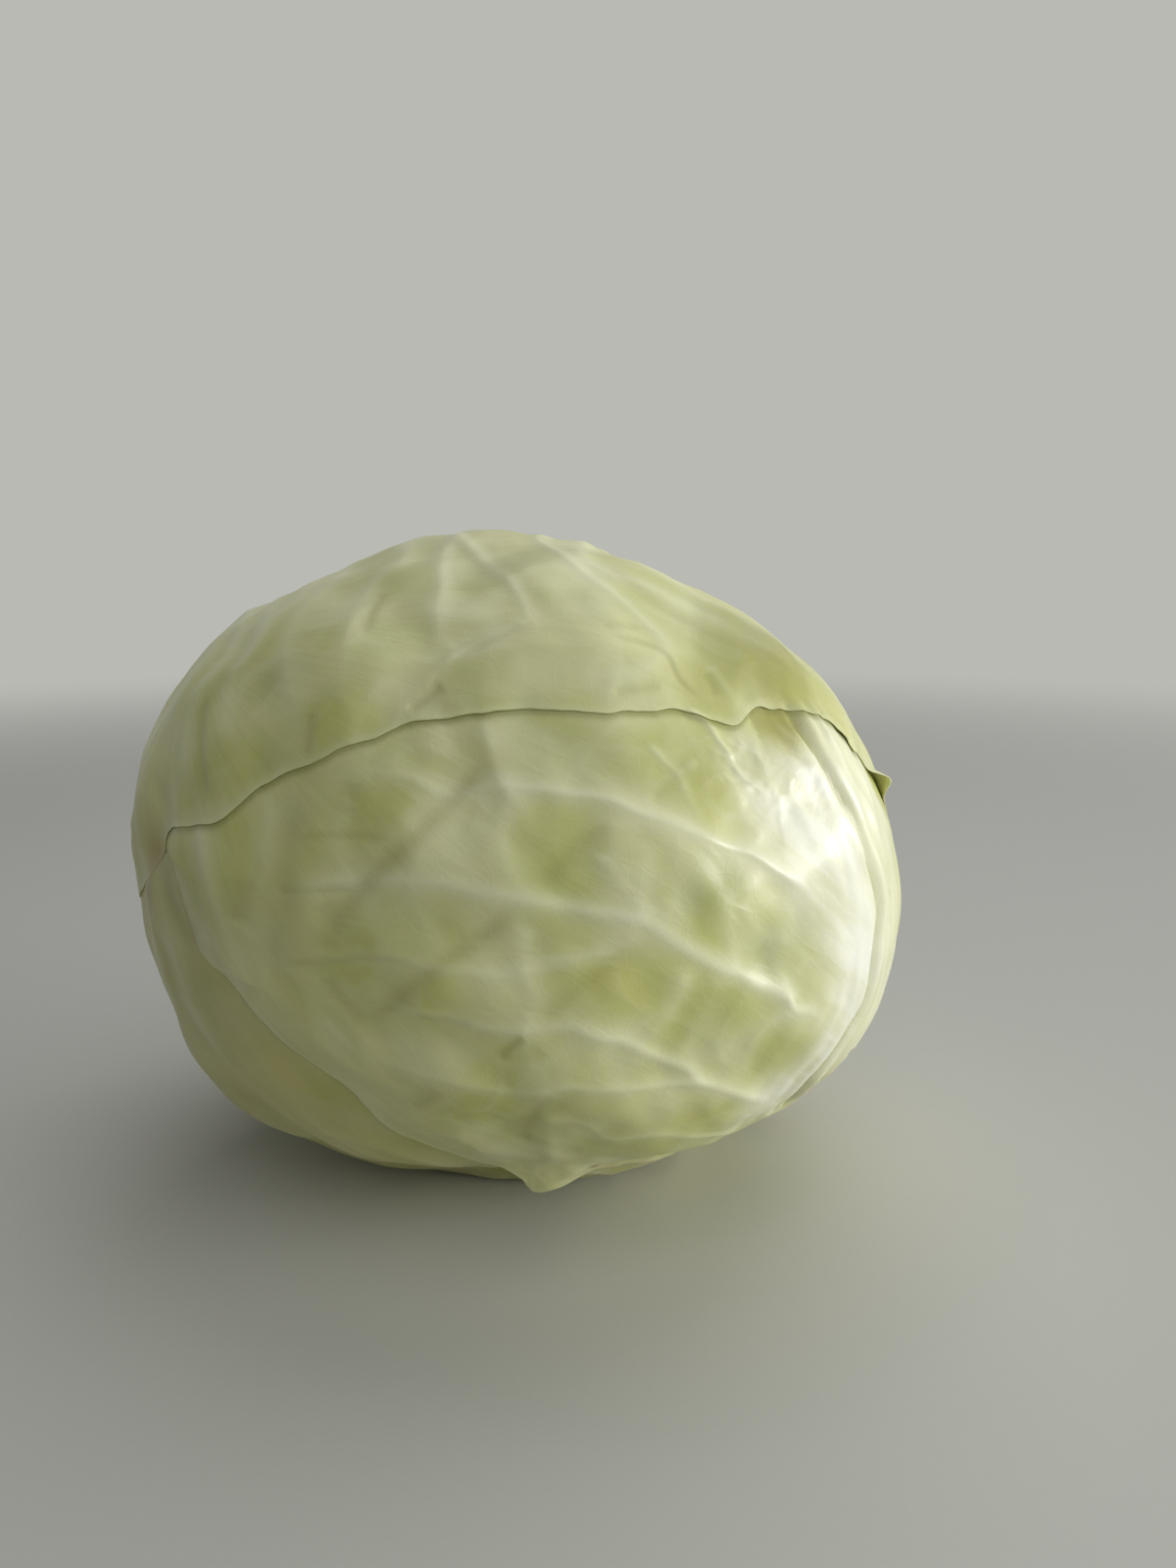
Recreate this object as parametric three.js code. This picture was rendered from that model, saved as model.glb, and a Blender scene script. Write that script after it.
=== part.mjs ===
// A white cabbage lying on its side: a tight head of packed leaves, six wrapper leaves around it
// and the cut stem. Millimetres, +Z up, resting on z = 0, with the origin under the middle of its
// box. The front faces -Y.
//
// Places on the head are directions seen from its centre, written [turn, lift] in degrees:
// turn 0 is the front, 90 the right end, 180 the back and -90 the left end, and lift is up.
import * as THREE from "three";
import { mergeVertices } from "three/addons/utils/BufferGeometryUtils.js";

// The head. Bulges raise or lower it around a direction, over a spread in degrees.
const headCentre = new THREE.Vector3(-0.6, -1, 74.2);
const headHalfSize = new THREE.Vector3(83.5, 78, 77);
const headBulges = [
  { toward: [74, -14], spread: 24, rise: 2.5 },
  { toward: [-80, 40], spread: 30, rise: 3 },
  { toward: [80, 54], spread: 28, rise: -4 },
  { toward: [-60, 74], spread: 16, rise: 1.5 },
  { toward: [0, -50], spread: 34, rise: -10 },
  { toward: [-44, -40], spread: 20, rise: -2 },
  { toward: [44, -46], spread: 18, rise: -1.5 },
];

// The wrapper leaves lie in layers with room between them. A leaf that lies over another's rim
// comes down to the head between overhangStart and overhangEnd degrees past it. The underside
// counts two layers, and is pressed flat where the cabbage rests.
const leafThickness = 1;
const leafGap = 1.2;
const leafPitch = leafThickness + leafGap;
const layersUnderneath = 2;
const flatEdge = 2.5;
const overhangStart = 3;
const overhangEnd = 24;

// The stem, and how far its flat seat on the head is from the head's centre.
const stemToward = [118, -38];
const stemSeat = 77;
const stemRadius = 15;
const stemLength = 15;
const stemClearance = 0.5;

// Half of the rim of a leaf that mostly lies under the others, as degrees from the stem and
// degrees to the side: narrow at the stem, then wide, with a rounded end.
const petalBase = 14;
const petalSide = [[16, 25], [28, 48], [52, 58], [80, 56], [106, 44]];
const petalTip = 122;
const petalMiddle = 68;

// Leaves from the innermost to the outermost. An outline is the leaf's rim, once around. A rib is
// the thick middle vein, from the stem outwards, and its width is in degrees.
const leaves = [
  {
    name: "right_leaf",
    colour: 0xc9cf9a,
    ...petal(25, 0.95),
    rib: { along: [[112, -24], [100, 2], [88, 24], [66, 46]], width: 12, rise: 0.4 },
  },
  {
    name: "under_leaf",
    colour: 0xc4cb92,
    ...petal(-150, 1),
    rib: { along: [[134, -50], [165, -62], [-135, -62], [-105, -45]], width: 12, rise: 0.4 },
  },
  {
    name: "rear_leaf",
    colour: 0xc6cc96,
    ...petal(-92, 0.9),
    rib: { along: [[136, -38], [160, -34], [-175, -26], [-145, -14]], width: 12, rise: 0.4 },
  },
  {
    name: "left_leaf",
    colour: 0xc8cd98,
    centre: [-45, -52],
    outline: [
      [104, -52], [70, -52], [40, -44], [15, -26], [-2, -8], [-14, 12], [-30, 32], [-62, 42],
      [-95, 34], [-114, 12], [-122, -12], [-134, -34], [-168, -50], [135, -55],
    ],
    rib: { along: [[106, -54], [60, -74], [-40, -66], [-62, -30]], width: 12, rise: 0.4 },
  },
  {
    name: "front_leaf",
    colour: 0xcdd29c,
    centre: [42, -2],
    outline: [
      [-56, 14], [-46, 3], [-38, -3], [-31, -9], [-20, -19], [-11, -28], [-1, -37], [8, -50],
      [20, -49], [36, -50], [56, -52], [78, -54], [95, -50], [101, -42], [104, -31], [111, -20],
      [118, -6], [120, 14], [108, 30], [84, 42], [52, 50], [16, 52], [-18, 48], [-46, 34],
    ],
    rib: {
      along: [[104, -42], [90, -38], [80, -26], [76, -10], [71, 6], [63, 20], [53, 33], [36, 45]],
      width: 11, rise: 1.2,
    },
    lift: { toward: [8, -49], spread: 10, rise: 4.5 },
  },
  {
    name: "upper_leaf",
    colour: 0xd0d4a2,
    centre: [180, 50],
    outline: [
      [-62, 5], [-50, 14], [-38, 19], [-30, 25], [-18, 30], [-4, 34], [14, 33], [28, 33], [38, 30],
      [48, 33], [62, 29], [72, 22], [81, 12], [92, 3], [99, -9], [107, -20], [121, -25],
      [137, -30], [154, -28], [173, -20], [-170, -21], [-148, -18], [-122, -14], [-98, -9],
      [-78, -1],
    ],
    rib: { along: [[126, -22], [140, 4], [158, 32], [174, 62], [-20, 82]], width: 10, rise: 0.8 },
  },
];

// Facets: degrees across one on a leaf, splits of the head's ball, and steps along a curve.
const facetSize = 8;
const headDetail = 6;
const stemSides = 28;
const curveSteps = 24;
const mergeDistance = 1e-4;

const headColour = 0xdcdfb4;
const stemColour = 0xd9cfa4;
const leafRoughness = 0.5;
const stemRoughness = 0.7;

function direction([turn, lift]) {
  const t = THREE.MathUtils.degToRad(turn);
  const l = THREE.MathUtils.degToRad(lift);
  return new THREE.Vector3(Math.sin(t) * Math.cos(l), -Math.cos(t) * Math.cos(l), Math.sin(l));
}

function turnAndLift(toward) {
  const turn = THREE.MathUtils.radToDeg(Math.atan2(toward.x, -toward.y));
  const lift = THREE.MathUtils.radToDeg(Math.asin(THREE.MathUtils.clamp(toward.z, -1, 1)));
  return [turn, lift];
}

// Two directions at right angles to a centre: "up" as far as it can be, and "beside" it.
function axesAround(centre) {
  const up = new THREE.Vector3(0, 0, 1).addScaledVector(centre, -centre.z).normalize();
  const beside = new THREE.Vector3().crossVectors(centre, up);
  return { up, beside };
}

function away(centre, axes, distance, angle) {
  const d = THREE.MathUtils.degToRad(distance);
  return centre.clone().multiplyScalar(Math.cos(d))
    .addScaledVector(axes.up, Math.sin(d) * Math.cos(angle))
    .addScaledVector(axes.beside, Math.sin(d) * Math.sin(angle));
}

function degreesBetween(a, b) {
  return THREE.MathUtils.radToDeg(Math.acos(THREE.MathUtils.clamp(a.dot(b), -1, 1)));
}

// The middle and the rim of such a leaf. Side is its direction around the stem, and breadth scales
// its width.
function petal(side, breadth) {
  const stem = direction(stemToward);
  const axes = axesAround(stem);
  const otherSide = petalSide.map(([distance, width]) => [distance, -width]).reverse();
  const rim = [[petalBase, 0], ...petalSide, [petalTip, 0], ...otherSide];
  const place = ([distance, width]) => {
    const angle = THREE.MathUtils.degToRad(side + width * breadth);
    return turnAndLift(away(stem, axes, distance, angle));
  };
  return { centre: place([petalMiddle, 0]), outline: rim.map(place) };
}

// The lower of two values, with a rounded corner of the given size where they cross.
function softLower(a, b, corner) {
  const near = Math.max(corner - Math.abs(a - b), 0) / corner;
  return Math.min(a, b) - (near * near * corner) / 4;
}

function smooth(value) {
  const v = THREE.MathUtils.clamp(value, 0, 1);
  return v * v * (3 - 2 * v);
}

// Everything about a leaf that its surface needs: centre, axes, and how far the rim is from the
// centre in each direction.
function prepare(leaf) {
  const centre = direction(leaf.centre);
  const axes = axesAround(centre);
  const flat = leaf.outline.map((place) => {
    const toward = direction(place);
    const distance = degreesBetween(toward, centre);
    const angle = Math.atan2(toward.dot(axes.beside), toward.dot(axes.up));
    return new THREE.Vector3(distance * Math.cos(angle), distance * Math.sin(angle), 0);
  });
  const curve = new THREE.CatmullRomCurve3(flat, true, "catmullrom", 0.5);
  const rim = curve.getPoints(curveSteps * flat.length).slice(0, -1)
    .map((p) => ({ angle: Math.atan2(p.y, p.x), reach: p.length() }))
    .sort((a, b) => a.angle - b.angle);
  const ribPoints = leaf.rib.along.map(direction);
  const ribCurve = new THREE.CatmullRomCurve3(ribPoints, false, "catmullrom", 0.5);
  const ribLine = ribCurve.getPoints(curveSteps * 2).map((p) => p.normalize());
  return { ...leaf, centre, axes, rim, ribLine };
}

function rimReach(leaf, angle) {
  const rim = leaf.rim;
  let after = rim.findIndex((p) => p.angle > angle);
  if (after < 0) {
    after = 0;
  }
  const b = rim[after];
  const a = rim[(after + rim.length - 1) % rim.length];
  const turn = 2 * Math.PI;
  const span = (b.angle - a.angle + turn) % turn;
  const part = span > 0 ? ((angle - a.angle + turn) % turn) / span : 0;
  return a.reach + (b.reach - a.reach) * part;
}

// 1 where the leaf lies, falling to 0 a little way past its rim.
function cover(leaf, toward) {
  const distance = degreesBetween(toward, leaf.centre);
  const angle = Math.atan2(toward.dot(leaf.axes.beside), toward.dot(leaf.axes.up));
  const past = distance - rimReach(leaf, angle);
  return 1 - smooth((past - overhangStart) / (overhangEnd - overhangStart));
}

function bump({ toward, spread, rise }, place) {
  const far = degreesBetween(direction(toward), place) / spread;
  return rise * Math.exp(-far * far);
}

// The head's radius in one direction. It is flat where the stem leaves it.
function headRadius(toward) {
  const scaled = toward.clone().divide(headHalfSize);
  const round = headBulges.reduce((sum, bulge) => sum + bump(bulge, toward), 1 / scaled.length());
  const facingStem = toward.dot(direction(stemToward));
  return facingStem > 0 ? softLower(round, stemSeat / facingStem, flatEdge) : round;
}

// The point a given height above the head. The underside is pressed flat: the outermost layer
// rests on z = 0, and each layer inside it is flat a little higher.
function pointAt(toward, height) {
  let radius = headRadius(toward) + height;
  const restHeight = Math.max(layersUnderneath * leafPitch - height, 0);
  if (toward.z < 0) {
    radius = softLower(radius, (headCentre.z - restHeight) / -toward.z, flatEdge);
  }
  return headCentre.clone().addScaledVector(toward, radius);
}

function ribRise(leaf, toward) {
  const nearest = Math.min(...leaf.ribLine.map((p) => degreesBetween(p, toward)));
  return leaf.rib.rise * Math.exp(-((nearest / leaf.rib.width) ** 2));
}

function lift(leaf, toward) {
  return leaf.lift ? bump(leaf.lift, toward) : 0;
}

// How high above the head a leaf's inner face lies, over the leaves that are inside it.
function heightBelow(leaf, inner, toward) {
  const stack = inner.reduce((sum, other) => {
    const own = leafPitch + ribRise(other, toward) + lift(other, toward);
    return sum + own * cover(other, toward);
  }, 0);
  return leafGap + stack + lift(leaf, toward);
}

function material(colour, roughness) {
  return new THREE.MeshStandardMaterial({ color: colour, roughness, metalness: 0 });
}

function meshFrom(name, points, faces, colour) {
  const geometry = new THREE.BufferGeometry();
  const flat = points.flatMap((p) => [p.x, p.y, p.z]);
  geometry.setAttribute("position", new THREE.Float32BufferAttribute(flat, 3));
  geometry.setIndex(faces.flat());
  geometry.computeVertexNormals();
  const mesh = new THREE.Mesh(geometry, material(colour, leafRoughness));
  mesh.name = name;
  return mesh;
}

// A leaf is a thin shell. Rings of points run from its centre to its rim, once on the outside and
// once on the inside, and the two meet along the rim.
function leafMesh(leaf, inner) {
  const widest = Math.max(...leaf.rim.map((p) => p.reach));
  const leafRings = Math.round(widest / facetSize);
  const leafSpokes = Math.round(360 / facetSize);
  const outside = [];
  const inside = [];
  for (let ring = 0; ring <= leafRings; ring += 1) {
    const count = ring === 0 ? 1 : leafSpokes;
    for (let spoke = 0; spoke < count; spoke += 1) {
      const angle = (2 * Math.PI * spoke) / leafSpokes - Math.PI;
      const distance = (rimReach(leaf, angle) * ring) / leafRings;
      const toward = away(leaf.centre, leaf.axes, distance, angle);
      const below = heightBelow(leaf, inner, toward);
      inside.push(pointAt(toward, below));
      outside.push(pointAt(toward, below + leafThickness + ribRise(leaf, toward)));
    }
  }
  const points = [...outside, ...inside];
  const half = outside.length;
  const at = (ring, spoke) => (ring === 0 ? 0 : 1 + (ring - 1) * leafSpokes + (spoke % leafSpokes));
  const faces = [];
  const addBoth = (a, b, c) => {
    faces.push([a, b, c]);
    faces.push([half + a, half + c, half + b]);
  };
  for (let spoke = 0; spoke < leafSpokes; spoke += 1) {
    addBoth(0, at(1, spoke), at(1, spoke + 1));
    for (let ring = 1; ring < leafRings; ring += 1) {
      addBoth(at(ring, spoke), at(ring + 1, spoke), at(ring + 1, spoke + 1));
      addBoth(at(ring, spoke), at(ring + 1, spoke + 1), at(ring, spoke + 1));
    }
    const a = at(leafRings, spoke);
    const b = at(leafRings, spoke + 1);
    faces.push([b, a, half + a]);
    faces.push([b, half + a, half + b]);
  }
  return meshFrom(leaf.name, points, faces, leaf.colour);
}

function headMesh() {
  const ball = new THREE.IcosahedronGeometry(1, headDetail);
  ball.deleteAttribute("normal");
  ball.deleteAttribute("uv");
  const merged = mergeVertices(ball, mergeDistance);
  const spots = merged.getAttribute("position");
  const points = [];
  for (let i = 0; i < spots.count; i += 1) {
    points.push(pointAt(new THREE.Vector3().fromBufferAttribute(spots, i).normalize(), 0));
  }
  const faces = [];
  for (let i = 0; i < merged.index.count; i += 3) {
    faces.push([merged.index.getX(i), merged.index.getX(i + 1), merged.index.getX(i + 2)]);
  }
  return meshFrom("head", points, faces, headColour);
}

// The stem stub stands on the head where the wrapper leaves meet, and ends in a flat cut.
function stemMesh() {
  const profile = [
    [0, 0], [stemRadius * 0.94, 0], [stemRadius, stemLength * 0.4],
    [stemRadius * 0.92, stemLength * 0.9], [stemRadius * 0.82, stemLength], [0, stemLength],
  ].map(([x, y]) => new THREE.Vector2(x, y));
  const lathe = new THREE.LatheGeometry(profile, stemSides);
  lathe.deleteAttribute("normal");
  lathe.deleteAttribute("uv");
  const geometry = mergeVertices(lathe, mergeDistance);
  geometry.computeVertexNormals();
  const mesh = new THREE.Mesh(geometry, material(stemColour, stemRoughness));
  const toward = direction(stemToward);
  mesh.name = "stem";
  mesh.position.copy(headCentre).addScaledVector(toward, stemSeat + stemClearance);
  mesh.quaternion.setFromUnitVectors(new THREE.Vector3(0, 1, 0), toward);
  return mesh;
}

const cabbage = new THREE.Group();
const prepared = leaves.map(prepare);
cabbage.add(headMesh(), stemMesh());
prepared.forEach((leaf, order) => cabbage.add(leafMesh(leaf, prepared.slice(0, order))));

export default cabbage;
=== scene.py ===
import math
import bmesh
import bpy
import numpy as np
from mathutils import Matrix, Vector


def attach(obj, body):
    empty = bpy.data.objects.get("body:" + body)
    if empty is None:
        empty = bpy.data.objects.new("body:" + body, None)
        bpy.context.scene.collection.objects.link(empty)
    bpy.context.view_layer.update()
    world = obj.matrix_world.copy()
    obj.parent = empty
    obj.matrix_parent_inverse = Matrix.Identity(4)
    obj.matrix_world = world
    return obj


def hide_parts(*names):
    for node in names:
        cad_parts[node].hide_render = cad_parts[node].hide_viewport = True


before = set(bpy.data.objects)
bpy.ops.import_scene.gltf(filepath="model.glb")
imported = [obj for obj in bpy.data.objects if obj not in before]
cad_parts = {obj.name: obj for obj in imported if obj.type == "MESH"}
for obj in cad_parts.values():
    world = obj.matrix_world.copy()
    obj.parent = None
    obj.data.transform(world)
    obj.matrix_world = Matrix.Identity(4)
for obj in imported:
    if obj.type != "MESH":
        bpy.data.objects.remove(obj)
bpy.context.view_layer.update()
print("frame loaded")

# A white cabbage on its side. Shapes are worked out in millimetres and become metres when a mesh
# is made. Places are directions from the head's centre, [turn, lift] in degrees: turn 0 is the
# front, 90 the right end, 180 the back and -90 the left end.
metresPerMm = 0.001
mmPerDegree = 1.36  # along the head's surface
meanRadius = 79  # the head's, for the size of noise and nets over it

headShape = {
    "centre": np.array([-0.6, -1.0, 74.2]),
    "halfSize": np.array([83.5, 78.0, 77.0]),
    "bulges": [  # toward, spread in degrees, rise
        ([74, -14], 24, 2.5),
        ([-80, 40], 30, 3.0),
        ([80, 54], 28, -4.0),
        ([-60, 74], 16, 1.5),
        ([0, -50], 34, -10.0),
        ([-44, -40], 20, -2.0),
        ([44, -46], 18, -1.5),
    ],
    "dents": [  # the same, for the finer shape of the leaves as they are wrapped
        ([-72, -15], 11, -2.4),
        ([-53, -47], 8, -3.4),
        ([-55, -62], 7, 1.6),
        ([-20, -64], 14, -7.5),
        ([50, -64], 14, -1.6),
        ([68, -45], 7, -1.8),
        ([74, -15], 7, -1.5),
        ([88, 26], 13, -1.6),
        ([70, 76], 12, -1.5),
        ([-75, 55], 11, -1.7),
        ([-78, 29], 7, 1.2),
    ],
    "waves": [(44, 0.5, 3), (20, 0.28, 4)],  # length, height and seed of the soft unevenness
}
layers = {
    "thickness": 1.0,
    "gap": 1.2,
    "underneath": 2,  # layers between the head and the floor
    "flatEdge": 2.5,
    "overhang": (3.0, 24.0),  # degrees past a rim over which a leaf on top comes down
    "rimOverhang": 5.0,  # the same at its own rim, in millimetres
    "tuckWidth": 13.0,  # the strip along a leaf's rim that is pressed towards the leaf under it
}
stemShape = {
    "toward": [118, -38],
    "seat": 77.0,
    "clearance": 0.5,
    "radius": 15.0,
    "length": 15.0,
    "spokes": 144,
    "rings": 72,
    "profile": [  # out and up, from the middle of the seat to the middle of the cut
        [0, 0], [0.5, 0], [0.93, 0], [1, 0.16], [0.99, 0.4], [0.94, 0.7], [0.92, 0.9],
        [0.86, 0.99], [0.7, 1], [0.35, 0.985], [0, 0.98],
    ],
    "cutFrom": 0.68,  # share of the profile
    "rays": 24,
}


def direction(places):
    turn, lift = np.moveaxis(np.radians(np.asarray(places, float)), -1, 0)
    across = np.cos(lift)
    return np.stack([np.sin(turn) * across, -np.cos(turn) * across, np.sin(lift)], -1)


def unit(vectors):
    return vectors / np.linalg.norm(vectors, axis=-1, keepdims=True)


def degreesBetween(towards, one):
    return np.degrees(np.arccos(np.clip(towards @ one, -1, 1)))


def smooth(value):
    v = np.clip(value, 0, 1)
    return v * v * (3 - 2 * v)


def hill(distance, width):
    return np.exp(-(distance / width) ** 2)


def bump(towards, place, size, height=1):  # round, with its size in degrees
    return height * hill(degreesBetween(towards, direction(place)), size)


def join(a, b):  # two masks laid over each other
    return 1 - (1 - a) * (1 - b)


def softLower(a, b, corner):  # the lower of two, with a rounded corner where they cross
    near = np.maximum(corner - np.abs(a - b), 0) / corner
    return np.minimum(a, b) - near * near * corner / 4


def softNoise(points, length, seed, waves=26):  # mostly between -2 and 2
    random = np.random.default_rng(seed)
    ways = unit(random.normal(size=(waves, points.shape[-1])))
    ways = ways * (2 * math.pi / (length * random.uniform(0.7, 1.5, waves)))[:, None]
    starts = random.uniform(0, 2 * math.pi, waves)
    return np.cos(points @ ways.T + starts).sum(-1) * math.sqrt(2 / waves)


def axesAround(centre):
    up = unit(np.array([0.0, 0.0, 1.0]) - centre * centre[2])
    return up, np.cross(centre, up)


def angleAround(towards, axes):
    return np.arctan2(towards @ axes[1], towards @ axes[0])


# Directions so many degrees away from a centre, at an angle around it.
def away(centre, axes, distance, angle):
    d = np.radians(distance)[..., None]
    ring = np.cos(angle)[..., None] * axes[0] + np.sin(angle)[..., None] * axes[1]
    return centre * np.cos(d) + ring * np.sin(d)


stemAxis = direction(stemShape["toward"])
stemAxes = axesAround(stemAxis)


def headRadius(towards):
    radius = 1 / np.linalg.norm(towards / headShape["halfSize"], axis=-1)
    for bulge in headShape["bulges"] + headShape["dents"]:
        radius = radius + bump(towards, *bulge)
    for length, height, seed in headShape["waves"]:
        radius = radius + height * softNoise(towards * meanRadius, length, seed)
    facing = np.maximum(towards @ stemAxis, 0.05)
    return softLower(radius, stemShape["seat"] / facing, layers["flatEdge"])


# The point a given height above the head. The underside is pressed flat where it rests.
def pointAt(towards, height):
    pitch = layers["thickness"] + layers["gap"]
    radius = headRadius(towards) + height
    rest = np.maximum(layers["underneath"] * pitch - height, 0)
    down = np.maximum(-towards[:, 2], 0.02)
    low = (headShape["centre"][2] - rest) / down
    radius = np.where(towards[:, 2] < 0, softLower(radius, low, layers["flatEdge"]), radius)
    return headShape["centre"] + towards * radius[:, None]


# Directions around the stem, for lines that run out from it along a leaf.
def fibreSpace(towards):
    far = degreesBetween(towards, stemAxis)
    around = angleAround(towards, stemAxes)
    return np.stack([60 * np.cos(around), 60 * np.sin(around), far * mmPerDegree * 0.14], -1)


def curveBetween(a, b, c, d, t):  # from b to c, where a comes before them and d after
    curve = 2 * b + (c - a) * t + (2 * a - 5 * b + 4 * c - d) * t ** 2
    return (curve + (3 * b - a - 3 * c + d) * t ** 3) / 2


def closedCurve(points, steps):
    a, b, c, d = (np.roll(points, shift, 0) for shift in (1, 0, -1, -2))
    t = (np.arange(steps) / steps)[None, :, None]
    a, b, c, d = a[:, None], b[:, None], c[:, None], d[:, None]
    return curveBetween(a, b, c, d, t).reshape(-1, points.shape[1])


# A smooth path over the head, with the direction to its left at each of its points.
def pathThrough(vectors, spacing=0.5):
    vectors = np.vstack([2 * vectors[0] - vectors[1], vectors, 2 * vectors[-1] - vectors[-2]])
    line = []
    for k in range(1, len(vectors) - 2):
        a, b, c, d = vectors[k - 1:k + 3]
        steps = max(2, int(np.degrees(np.linalg.norm(c - b)) / spacing))
        t = (np.arange(steps) / steps)[:, None]
        line.append(curveBetween(a, b, c, d, t))
    line = unit(np.vstack(line + [vectors[-2:-1]]))
    left = unit(np.cross(line, np.gradient(line, axis=0)))
    return line, left


# Distance to a path in millimetres, positive on its left, and how far along it the place is.
def reachTo(towards, path):
    line, left = path
    close = towards.astype(np.float32) @ line.T.astype(np.float32)
    nearest = close.argmax(1)
    straight = np.arccos(np.clip((towards * line[nearest]).sum(1), -1, 1))
    side = np.arcsin(np.clip((towards * left[nearest]).sum(1), -1, 1))
    between = (nearest > 0) & (nearest < len(line) - 1)
    distance = np.where(between, np.abs(side), straight) * np.where(side < 0, -1, 1)
    return np.degrees(distance) * mmPerDegree, nearest / (len(line) - 1)


# Which of the directions lie within so many millimetres of a path's surroundings.
def nearPath(towards, path, room):
    line = path[0]
    middle = unit(line.mean(0))
    widest = degreesBetween(line, middle).max() + room / mmPerDegree
    return np.flatnonzero(towards @ middle > math.cos(math.radians(min(widest, 179))))


# Half of the rim of a leaf that mostly lies under the others.
petalSide = [[16, 25], [28, 48], [52, 58], [80, 56], [106, 44]]


def petal(side, breadth):
    rim = [[14, 0], *petalSide, [122, 0], *[[far, -wide] for far, wide in reversed(petalSide)]]
    spots = np.array([[68, 0], *rim], float)
    towards = away(stemAxis, stemAxes, spots[:, 0], np.radians(side + spots[:, 1] * breadth))
    turn = np.degrees(np.arctan2(towards[:, 0], -towards[:, 1]))
    places = np.stack([turn, np.degrees(np.arcsin(towards[:, 2]))], -1)
    return {"centre": places[0], "outline": places[1:]}


# A vein is its places from the stem outwards, half width, rise and paleness. A crease is the
# same with depth and painted shade. A mark is a place, its size in degrees and its strength.
rightLeaf = {
    "name": "right_leaf",
    **petal(25, 0.95),
    "rib": {"along": [[112, -24], [100, 2], [88, 24], [66, 46]], "width": 12, "rise": 0.4},
    "cells": 150,
    "seed": 11,
}
underLeaf = {
    "name": "under_leaf",
    **petal(-150, 1),
    "rib": {
        "along": [[134, -50], [165, -62], [-135, -62], [-105, -45]],
        "width": 12, "rise": 0.4,
    },
    "cells": 165,
    "seed": 12,
}
rearLeaf = {
    "name": "rear_leaf",
    **petal(-92, 0.9),
    "rib": {
        "along": [[136, -38], [160, -34], [-175, -26], [-145, -14]],
        "width": 12, "rise": 0.4,
    },
    "cells": 165,
    "seed": 13,
}
leftLeaf = {
    "name": "left_leaf",
    "centre": [-45, -52],
    "outline": [
        [104, -52], [70, -52], [40, -44], [15, -26], [-2, -8], [-14, 12], [-30, 32], [-62, 42],
        [-95, 34], [-114, 12], [-122, -12], [-134, -34], [-168, -50], [135, -55],
    ],
    "rib": {"along": [[106, -54], [60, -74], [-40, -66], [-62, -30]], "width": 12, "rise": 0.4},
    "laterals": {"count": 6, "angle": 46, "bend": 10, "length": 60},
    "cells": 210,
    "seed": 14,
    "veins": [
        ([[-30, -48], [-40, -34], [-47, -22], [-52, -10], [-55, 2], [-60, 10]], 3.6, 0.5, 0.5),
        ([[-20, -52], [-30, -38], [-36, -25], [-38, -14], [-42, -5]], 3.0, 0.35, 0.35),
        ([[-8, -52], [-16, -44], [-25, -36], [-34, -30], [-42, -24]], 3.0, 0.3, 0.35),
        ([[2, -56], [-12, -52], [-28, -48], [-44, -48]], 4.0, 0.4, 0.5),
    ],
    "creases": [
        ([[-62, 14], [-57, 9], [-50, 3], [-45, -1]], 2.0, 0.2, 0.6),
        ([[-62, 4], [-58, -6], [-52, -20]], 2.0, 0.2, 0.3),
    ],
    "drawn": ([-38, -25], 38),
    "yellow": [([-38, -24], 12, 0.6), ([-62, 2], 6, 0.7), ([-24, -40], 9, 0.5)],
    "brown": [([-63, 4], 3, 0.6)],
}
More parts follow.
